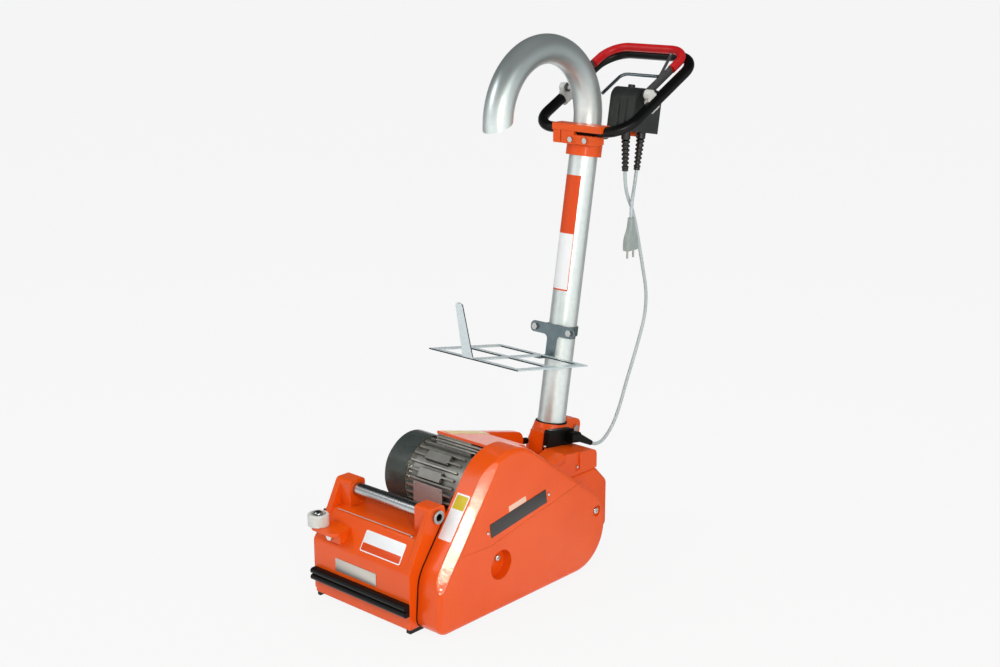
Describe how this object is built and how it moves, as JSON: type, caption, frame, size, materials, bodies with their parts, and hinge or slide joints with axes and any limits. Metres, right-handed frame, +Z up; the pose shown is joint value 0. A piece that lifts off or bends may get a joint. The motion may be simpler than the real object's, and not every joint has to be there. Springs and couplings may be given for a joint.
{
  "type": "drum floor sander",
  "caption": "Upright drum floor sander with a belt guard, finned motor, dust fan, leaning guide tube with a bent dust outlet, cord rack and a loop handle with a lift bail.",
  "frame": {"origin": "on the floor under the middle of the machine's box, without its cord and plug", "axes": "+Z up, +X towards the belt guard, +Y towards the operator"},
  "size_m": [0.317, 0.847, 1.0094],
  "materials": {
    "orange_casting": "glossy orange paint over a casting",
    "orange_sheet": "glossy orange paint over sheet",
    "zinc_steel": "zinc plated",
    "bright_steel": "bright ground",
    "black_steel": "black powder coat",
    "grey_steel": "dark grey paint",
    "motor_aluminium": "grey paint on a finned casting",
    "core_steel": "laminated steel and copper",
    "bare_aluminium": "machined",
    "black_plastic": "moulded, fine grain",
    "red_grip": "soft red sleeve",
    "white_plastic": "moulded white",
    "black_rubber": "matt",
    "grey_rubber": "matt",
    "abrasive": "brown abrasive cloth",
    "grey_cord": "smooth pale sheath",
    "grey_plug": "moulded grey"
  },
  "bodies": {
    "machine": {"drum_housing": "orange_casting", "door_pin": "bright_steel", "carry_bar": "bright_steel", "front_bumper": "black_rubber", "dust_lips": "black_rubber", "roller_bracket": "orange_casting", "side_plate": "orange_casting", "belt_guard": "orange_casting", "guard_screws": "bright_steel", "motor_stator": "motor_aluminium", "motor_end_shields": "motor_aluminium", "fan_cowl": "black_plastic", "ball_bearings": "bright_steel", "drum_belt": "black_rubber", "fan_belt": "black_rubber", "fan_casing": "orange_casting", "dust_duct": "orange_sheet", "wheel_axle": "bright_steel", "deck_cover": "orange_casting", "tube_socket": "orange_casting", "connector_box": "black_plastic", "connector_plug": "black_plastic", "guide_tube": "zinc_steel", "gooseneck": "zinc_steel", "rack_plate": "zinc_steel", "rack_bracket": "zinc_steel", "rack_strap": "zinc_steel", "handle_frame": "black_steel", "handle_clamp": "orange_casting", "handle_cap": "orange_casting", "bail_bushes": "white_plastic", "switch_box": "black_plastic", "switch_cover": "black_plastic", "cord_glands": "black_rubber", "motor_cord": "grey_cord", "mains_lead": "grey_cord", "mains_plug": "grey_plug", "plug_pins": "bright_steel", "frame_bolts": "bright_steel"},
    "drum": {"drum_core": "bare_aluminium", "drum_rubber": "grey_rubber", "abrasive_sleeve": "abrasive", "drum_shaft": "bright_steel", "drum_pulley": "bare_aluminium"},
    "rotor": {"motor_rotor": "core_steel", "motor_fan": "black_plastic", "motor_pulley": "bare_aluminium"},
    "fan": {"fan_impeller": "bare_aluminium", "fan_shaft": "bright_steel", "fan_pulley": "bare_aluminium"},
    "left_wheel": {"wheel_left": "grey_rubber"},
    "right_wheel": {"wheel_right": "grey_rubber"},
    "roller": {"wall_roller": "white_plastic"},
    "door": {"side_door": "orange_sheet"},
    "door_screw": {"door_knob": "black_plastic"},
    "bail": {"bail_legs": "grey_steel", "bail_grip": "red_grip", "bail_rod": "black_steel"},
    "button": {"lock_button": "black_plastic"},
    "knob": {"clamp_knob": "black_plastic"}
  },
  "joints": [
    {"name": "drum_spin", "type": "hinge", "parent": "machine", "child": "drum", "pos_m": [0, -0.3015, 0.077], "axis": [1, 0, 0], "continuous": true},
    {"name": "rotor_spin", "type": "hinge", "parent": "machine", "child": "rotor", "pos_m": [0, -0.1795, 0.205], "axis": [1, 0, 0], "continuous": true},
    {"name": "fan_spin", "type": "hinge", "parent": "machine", "child": "fan", "pos_m": [0, 0.0005, 0.09], "axis": [1, 0, 0], "continuous": true},
    {"name": "left_wheel_spin", "type": "hinge", "parent": "machine", "child": "left_wheel", "pos_m": [-0.075, 0.1135, 0.045], "axis": [1, 0, 0], "continuous": true},
    {"name": "right_wheel_spin", "type": "hinge", "parent": "machine", "child": "right_wheel", "pos_m": [0.075, 0.1135, 0.045], "axis": [1, 0, 0], "continuous": true},
    {"name": "roller_spin", "type": "hinge", "parent": "machine", "child": "roller", "pos_m": [-0.118, -0.404, 0.161], "axis": [0, 0, 1], "continuous": true},
    {"name": "door_swing", "type": "hinge", "parent": "machine", "child": "door", "pos_m": [-0.1483, -0.204, 0.085], "axis": [0, 0, -1], "range_deg": [0, 110]},
    {"name": "door_screw_turn", "type": "hinge", "parent": "door", "child": "door_screw", "pos_m": [-0.15, -0.353, 0.148], "axis": [1, 0, 0], "range_deg": [0, 360]},
    {"name": "bail_lift", "type": "hinge", "parent": "machine", "child": "bail", "pos_m": [0.008, 0.25724, 0.89062], "axis": [1, 0, 0], "range_deg": [0, 25]},
    {"name": "button_press", "type": "slide", "parent": "machine", "child": "button", "axis": [0, -0.1685, -0.9857], "range_m": [0, 0.004], "stiffness_N_per_m": 400},
    {"name": "knob_turn", "type": "hinge", "parent": "machine", "child": "knob", "pos_m": [0.05, 0.19803, 0.81742], "axis": [1, 0, 0], "range_deg": [0, 360]}
  ],
  "couplings": [
    {"joint": "rotor_spin", "follows": "drum_spin", "ratio": 1.1579},
    {"joint": "fan_spin", "follows": "drum_spin", "ratio": 1.6923}
  ]
}
